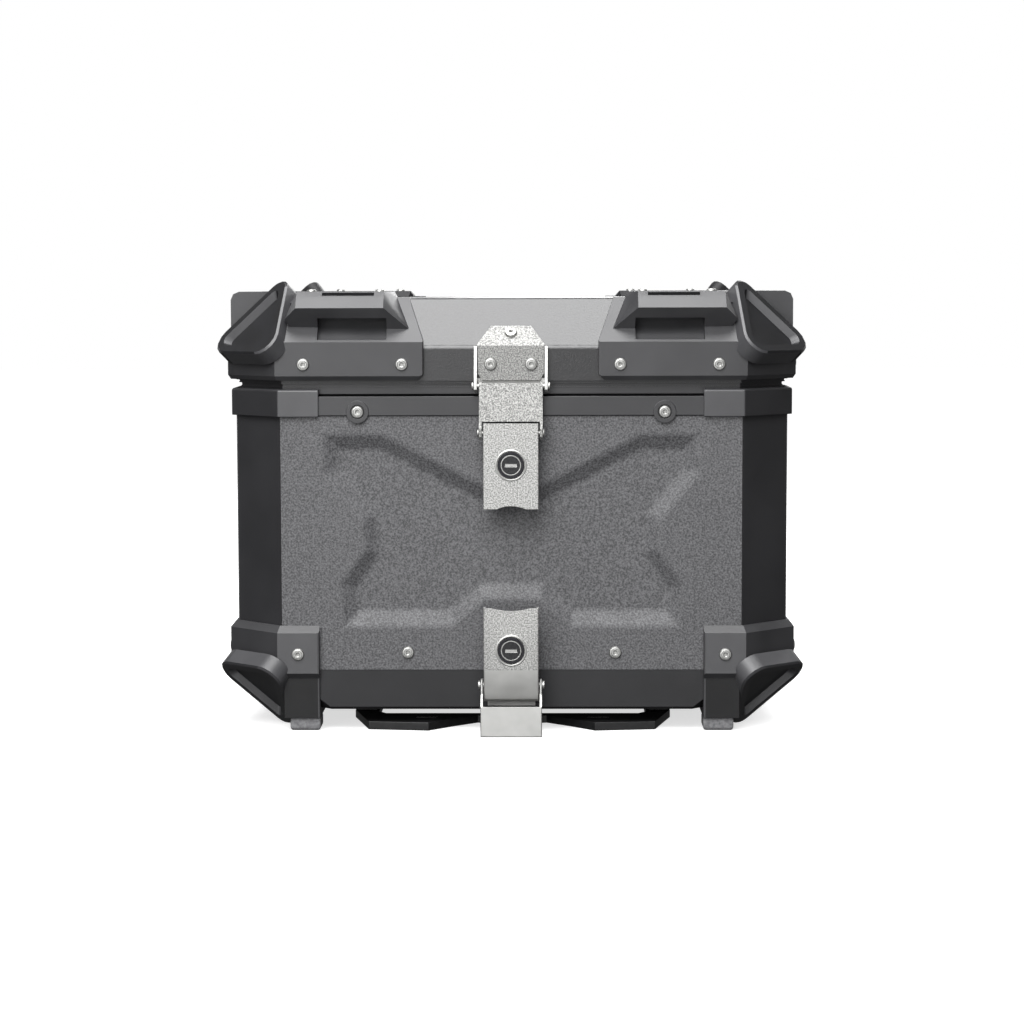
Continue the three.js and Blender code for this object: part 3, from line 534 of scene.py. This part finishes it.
FINISH = {
    "tray": polypropylene_tray(),
    "powder": powder_coat(),
    "lid": powder_coat_lid(),
    "guard": nylon_guard(),
    "horn": nylon_horn_shade(),
    "leg": nylon_leg_shade(),
    "cap": nylon_lit_satin(),
    "frame": nylon_frame(),
    "foot": foot_rubber(),
    "seal": seal_rubber(),
    "mat": mat_rubber(),
    "blasted": steel_blasted("stainless_bead_blasted", "#838382", "#BEBEBC"),
    "blasted_dull": steel_blasted("stainless_bead_blasted_dull", "#6A6A69", "#A0A09E"),
    "satin": steel_satin(),
    "turned": steel_turned(),
    "lock": lock_zinc(),
    "sleeve": lock_sleeve_black(),
    "plate": plate_black(),
}


# ---------- box ----------
def panel(node):
    """A pressed sheet: the folds of its recess are soft, and its cut rim is crisp."""
    bm = merged(node)
    folds = [e for e in bm.edges if 8 < turns(e) < 50]
    round_edges(bm, folds, 2.2 * MM, 4)
    rim = [e for e in bm.edges if turns(e) > 60]
    round_edges(bm, rim, 0.4 * MM, 2)
    stand_in(node, bm, FINISH["powder"])


def ways(corner):
    """Which way a corner lies, along x and along y."""
    return (1 if corner.endswith("right") else -1, 1 if corner.startswith("rear") else -1)


def pad_rims(bm, corner):
    """The rims of a guard's front and side pads, where they end against the panel or the lid."""
    sx, sy = ways(corner)
    faces = ((Vector((0, sy, 0)), Vector((-sx, 0, 0))), (Vector((sx, 0, 0)), Vector((0, -sy, 0))))

    def is_rim(edge):
        if not edge.is_manifold or not edge.is_convex:
            return False
        pair = [f.normal for f in edge.link_faces]
        return any(
            a.dot(out) > 0.98 and b.dot(inner) > 0.3
            for out, inner in faces
            for a, b in (pair, pair[::-1])
        )

    return [e for e in bm.edges if is_rim(e)]


def horn_triangle(corner, level, height):
    """The three points that the outer face of a guard's horn passes through: side, fore and peak.

    Each lies this far in from the side pad and from the front pad, at the level of the horn's base or peak.
    """
    sx, sy = ways(corner)
    side, fore, peak = (-17.5, 33.5, level), (38.5, -18.5, level), (45, 41.5, level + height)
    return [Vector((sx * (PAD_X - u), sy * (PAD_Y - v), z)) * MM for u, v, z in (side, fore, peak)]


def horn_shade_and_highlight(face, corner, triangle):
    """The material of a guard's face: 0 off the horn, 1 on the horn, where shade is painted, 2 on the band
    of its recess, where a highlight is painted.
    """
    side, fore, peak = triangle
    out = (fore - side).cross(peak - side).normalized()
    if out.dot(Vector((*ways(corner), 0))) < 0:
        out.negate()
    centre = (side + fore + peak) / 3
    growth, deepest, recessed = 1.04, -14 * MM, -0.3 * MM
    grown = [centre + growth * (point - centre) for point in triangle]
    depth = (face.center - side).dot(out)
    if not deepest < depth < MM or not intersect_point_tri(face.center, *grown):
        return 0
    edge = (peak - side).normalized()
    inward = (fore - side) - (fore - side).dot(edge) * edge
    is_side_wall = face.normal.dot(inward.normalized()) > 0.35
    return 2 if depth < recessed and is_side_wall else 1


def guard(kind, corner, rim, level, height):
    """A moulded guard, with painted shade on its horn, darker than its pads, and a painted highlight on the
    band in the horn's recess.
    """
    bm = merged(kind + "_" + corner)
    round_edges(bm, pad_rims(bm, corner), rim, 2)
    round_edges(bm, corners_of(bm), 0.7 * MM, 3)
    piece = stand_in(kind + "_" + corner, bm, FINISH["guard"])
    # Slot 1 is a darker nylon, painted shade on the horn; slot 2 a lighter one, a painted highlight on the
    # side wall of the horn's recess.
    piece.data.materials.append(FINISH["horn"])
    piece.data.materials.append(FINISH["cap"])
    triangle = horn_triangle(corner, level, height)
    for face in piece.data.polygons:
        face.material_index = horn_shade_and_highlight(face, corner, triangle)
    return piece


def upper_guard(corner):
    """An upper guard, whose horn rises from its base to a peak above the lid."""
    guard("upper_guard", corner, rim=1.6 * MM, level=270.4, height=59)


def lower_guard(corner):
    """A lower guard: painted light makes its outward pads the lightest, and the rougher leg below them is
    darkened with painted shade.
    """
    piece = guard("lower_guard", corner, rim=3.0 * MM, level=47.3, height=-55)
    piece.data.materials.append(FINISH["leg"])
    sx, sy = ways(corner)
    pad_foot = 41 * MM
    # Outward pad faces get the lighter nylon as painted light; those below the pad's foot get the darker
    # nylon as painted shade.
    for face in piece.data.polygons:
        if face.material_index == 0 and max(sx * face.normal.x, sy * face.normal.y) > 0.98:
            face.material_index = 2 if face.center.z > pad_foot else 3
        elif face.material_index == 1:
            face.material_index = 0


def rim_cap(corner):
    """A cap over the rim's corner: a lighter nylon on its faces as painted light, and a darker one across
    the corner as painted shade.
    """
    bm = merged("rim_cap_" + corner)
    round_edges(bm, corners_of(bm), 0.6 * MM, 2)
    piece = stand_in("rim_cap_" + corner, bm, FINISH["cap"])
    piece.data.materials.append(FINISH["frame"])
    # Faces across the corner get the darker frame nylon as painted shade; the others keep the lighter nylon
    # as painted light.
    for face in piece.data.polygons:
        across = min(abs(face.normal.x), abs(face.normal.y))
        face.material_index = 1 if across > 0.55 else 0


def lid_skin():
    """Folded sheet: a soft radius along each fold, and a cut edge round the mouth."""
    bm = merged("lid_skin")
    sharpest_fold = 62
    folds = [e for e in bm.edges if 20 < turns(e) < sharpest_fold]
    round_edges(bm, folds, 2.0 * MM, 4)
    cut = [e for e in bm.edges if turns(e) > sharpest_fold]
    round_edges(bm, cut, 0.35 * MM, 2)
    stand_in("lid_skin", bm, FINISH["lid"])


def rim_beads():
    """Two fine beads that run round the lid's rim: two slices of the rim, thickened outwards."""
    levels = ((245.7, 246.5), (248.2, 249.0))
    for number, (low, high) in enumerate(levels, 1):
        bm = merged("lid_rim")
        for level, side in ((low, -1), (high, 1)):
            parts = list(bm.verts) + list(bm.edges) + list(bm.faces)
            plane = {"plane_co": (0, 0, level * MM), "plane_no": (0, 0, side), "clear_outer": True}
            bmesh.ops.bisect_plane(bm, geom=parts, **plane)
        inner = [f for f in bm.faces if f.normal.dot(f.calc_center_median()) < 0.02]
        bmesh.ops.delete(bm, geom=inner, context="FACES")
        bmesh.ops.solidify(bm, geom=list(bm.faces), thickness=-0.45 * MM)
        bmesh.ops.recalc_face_normals(bm, faces=bm.faces)
        added(bm, "lid_rim_bead_%d" % number, "lid", FINISH["frame"])


def mat_ribs():
    """Raised ribs along the floor mat, their feet sunk in it."""
    bm = bmesh.new()
    pitch, half_length, half_width = 20, 148, 2.5
    foot, top = 20.5, 22.5
    for row in range(-6, 7):
        y = row * pitch
        verts = block(bm, (-half_length, y - half_width, foot), (half_length, y + half_width, top))
        middle = (foot + top) / 2 * MM
        upper = {e for v in verts for e in v.link_edges if all(w.co.z > middle for w in e.verts)}
        round_edges(bm, list(upper), 0.8 * MM, 2)
    added(bm, "floor_mat_ribs", "case", FINISH["mat"])


# ---------- sheet metal ----------
def is_bend(edge):
    """Whether an edge is the outside of a bend, from a sheet's front to a cheek or to its underside."""
    if not edge.is_manifold or not edge.is_convex or edge.calc_length() < 8 * MM:
        return False
    if turns(edge) <= 60:
        return False
    pair = [f.normal for f in edge.link_faces]
    return any(a.y < -0.6 and (abs(b.x) > 0.9 or b.z < -0.9) for a, b in (pair, pair[::-1]))


def sheet(node, material):
    """A bent and blanked sheet: its bends are round outside, and its cut edges are only deburred."""
    bm = merged(node)
    round_edges(bm, [e for e in bm.edges if is_bend(e)], 1.5 * MM, 4)
    round_edges(bm, corners_of(bm), 0.22 * MM, 2)
    return stand_in(node, bm, material)


def lower_lever():
    """The lower lever is blasted on its face, and burnished below the bend where it is pressed shut."""
    piece = sheet("lower_lever", FINISH["blasted"])
    piece.data.materials.append(FINISH["satin"])
    bend = 47 * MM
    for face in piece.data.polygons:
        face.material_index = 1 if face.center.z < bend else 0


# ---------- screws, rivets and lock faces ----------
def button_head(radius):
    """A button-head screw: a low dome with a machined ring and a hexagon socket.

    The dome's outline runs from the socket to the rim, out in socket radii and down in head radii.
    """
    bm = bmesh.new()
    socket = 0.3 * radius
    top = 0.42 * radius
    edge = 3.33
    flat = ((1.2, 0), (1.25, 0.03), (1.9, 0.03))
    ring = ((2.05, -0.05), (2.2, -0.01))
    shoulder = ((2.85, -0.06), (3.15, -0.16), (edge, -0.36))
    dome = [(part * socket, top + drop * radius) for part, drop in flat + ring + shoulder]
    turned(bm, dome + [(edge * socket, -0.1)])
    rim = [e for e in bm.edges if e.is_boundary and e.verts[0].co.z > 0.3 * top * MM]
    lift = Matrix.Translation((0, 0, (top - 0.05 * radius) * MM))
    circle = {"cap_ends": False, "segments": 6, "radius": socket * MM, "matrix": lift}
    hexagon = bmesh.ops.create_circle(bm, **circle)["verts"]
    sides = list({e for v in hexagon for e in v.link_edges})
    bmesh.ops.bridge_loops(bm, edges=rim + sides)
    walls = bmesh.ops.extrude_edge_only(bm, edges=sides)["geom"]
    deep = [v for v in walls if isinstance(v, bmesh.types.BMVert)]
    bmesh.ops.translate(bm, vec=(0, 0, -0.32 * radius * MM), verts=deep)
    closed(bm)
    return mesh_of(bm, "button_head")


def rivet_head(radius):
    """A small domed rivet head."""
    bm = bmesh.new()
    outline = ((0, 0.55), (0.45, 0.5), (0.8, 0.32), (1.0, 0.05), (1.0, -0.1), (0, -0.1))
    turned(bm, [(r * radius, h * radius) for r, h in outline], 16)
    closed(bm)
    return mesh_of(bm, "rivet_head")


def guard_screws(large, steel):
    """The screws through the guards' pads."""
    level = 262.2
    upper = outward("y", 146.9, PAD_Y, level) + outward("y", 77.2, PAD_Y, level)
    upper += outward("x", PAD_X, 105.4, level) + outward("x", PAD_X, 52, level)
    copies("lid_guard_screws", large, upper, "lid", *steel)
    level = 55.8
    lower = outward("y", 152.3, PAD_Y, level) + outward("x", PAD_X, 110.8, level)
    copies("lower_guard_screws", large, lower, "case", *steel)


def box_screws(large, small, steel):
    """The screws through the lid's top flanges, the panels, the rail and the carrier plate."""
    up = (0, 0, 1)
    flange = [(place, up) for x in (94, 143) for place, _ in outward("y", x, 133, 313.6)]
    copies("lid_top_screws", small, flange, "lid", *steel)
    level = 56.5
    panels = outward("y", 74, PANEL_Y, level) + outward("x", PANEL_X, 60, level)
    copies("panel_screws", large, panels, "case", *steel)
    copies("rail_screws", large, outward("y", 108.9, 158.75, 228.5), "case", *steel)
    plate = [((x, 2, 6), up) for x in (-83, -49, 49, 83)]
    copies("carrier_plate_screws", small, plate, "case", *steel)


def latch_and_hinge_screws(large, small, steel):
    """The screws of the hood and hinges, and the rivets in the levers' cheeks."""
    hood = [((x, -162, 262.4), (0, -1, 0)) for x in (-14.4, 14.4)]
    hood += [((0, -153.2, 284.2), (0, -1, 1))]
    copies("hood_screws", large, hood, "lid", *steel)
    back = (0, 1, 0)
    columns = (-47, -29, 29, 47)
    base = [((x, 161.25, z), back) for x in columns for z in (206, 226)]
    copies("hinge_base_screws", small, base, "case", *steel)
    leaf = [((x, 159.85, 265.5), back) for x in columns]
    copies("hinge_leaf_screws", small, leaf, "lid", *steel)
    dot, cheek = rivet_head(1.5), 19.5
    for name, body, y, z in (("latch", "lever", -169.5, 194), ("lower", "lower_lever", -176.5, 66)):
        spots = [((sx * cheek, y, z), (sx, 0, 0)) for sx in (-1, 1)]
        copies(name + "_lever_rivets", dot, spots, body, *steel)


def lock_face(lock, lever, barrel, y, z):
    """The lever's raised lip round a lock, the barrel's rim and the shutter over its keyway.

    The outlines are (radius, height) from the lock's centre on the lever's face, at this y and z.
    """
    lip = bmesh.new()
    turned(lip, [(9.9, -0.1), (10.0, 0.45), (10.4, 0.75), (10.9, 0.6), (11.3, 0.1), (11.3, -0.1)], 48)
    closed_ring(lip)
    place = facing((0, y, z), (0, -1, 0))
    bmesh.ops.transform(lip, matrix=place, verts=lip.verts)
    added(lip, lock + "_lip", lever, FINISH["satin"])
    rim = bmesh.new()
    turned(rim, [(6.5, 0.7), (6.55, 0.98), (6.8, 1.05), (7.15, 0.98), (7.19, 0.7)], 48)
    closed_ring(rim)
    bmesh.ops.transform(rim, matrix=place, verts=rim.verts)
    added(rim, lock + "_face_rim", barrel, FINISH["turned"])
    shutter = bmesh.new()
    verts = block(shutter, (-4.2, -1.3, 0.2), (4.2, 1.3, 0.95))
    top = [f for f in shutter.faces if f.normal.z > 0.9]
    bmesh.ops.inset_region(shutter, faces=top, thickness=0.4 * MM)
    bmesh.ops.translate(shutter, vec=(0, 0, -0.22 * MM), verts=list({v for f in top for v in f.verts}))
    round_edges(shutter, [e for e in shutter.edges if turns(e) > 60], 0.1 * MM, 2)
    bmesh.ops.transform(shutter, matrix=place, verts=shutter.verts)
    added(shutter, lock + "_shutter", barrel, FINISH["turned"])


# ---------- assembly ----------
for corner in CORNERS:
    upper_guard(corner)
    lower_guard(corner)
    rim_cap(corner)
    softened("corner_post_" + corner, FINISH["frame"], 0.8 * MM, 3)
    softened("foot_" + corner, FINISH["foot"], 1.2 * MM, 3)
for node in PANELS:
    panel(node)
lid_skin()
rim_beads()
softened("base_tray", FINISH["tray"], 0.8 * MM)
for node in ("top_rail", "lid_rim"):
    softened(node, FINISH["frame"], 0.5 * MM)
softened("lid_seal", FINISH["seal"], 0.5 * MM)
softened("floor_mat", FINISH["mat"], 0.8 * MM)
mat_ribs()
for node in ("latch_hood", "latch_link"):
    sheet(node, FINISH["blasted_dull"])
sheet("latch_lever", FINISH["blasted"])
lower_lever()
sheet("lower_jaw", FINISH["satin"])
for node in ("latch_bracket", "lower_bracket", "upper_keeper", "lower_keeper"):
    softened(node, FINISH["satin"], 0.3 * MM)
for side in SIDES:
    for part in ("rear_hook_", "hinge_base_", "hinge_leaf_"):
        softened(part + side, FINISH["satin"], 0.3 * MM)
    for part in ("hinge_pin_", "link_pin_"):
        softened(part + side, FINISH["turned"], 0.3 * MM)
for node in ("lever_pin", "fulcrum_pin"):
    softened(node, FINISH["turned"], 0.3 * MM)
for lock in ("upper_lock", "lower_lock"):
    softened(lock + "_sleeve", FINISH["sleeve"], 0.25 * MM)
    softened(lock + "_barrel", FINISH["lock"], 0.2 * MM)
    softened(lock + "_cam", FINISH["turned"], 0.3 * MM)
softened("carrier_plate", FINISH["plate"], 0.8 * MM)
large, small = button_head(4.5), button_head(3.5)
turned_steel = ("pin_steel", FINISH["turned"])
guard_screws(large, turned_steel)
box_screws(large, small, turned_steel)
latch_and_hinge_screws(large, small, turned_steel)
lock_face("upper_lock", "lever", "upper_barrel", -173, 191.5)
lock_face("lower_lock", "lower_lever", "lower_barrel", -181, 61)
floor()
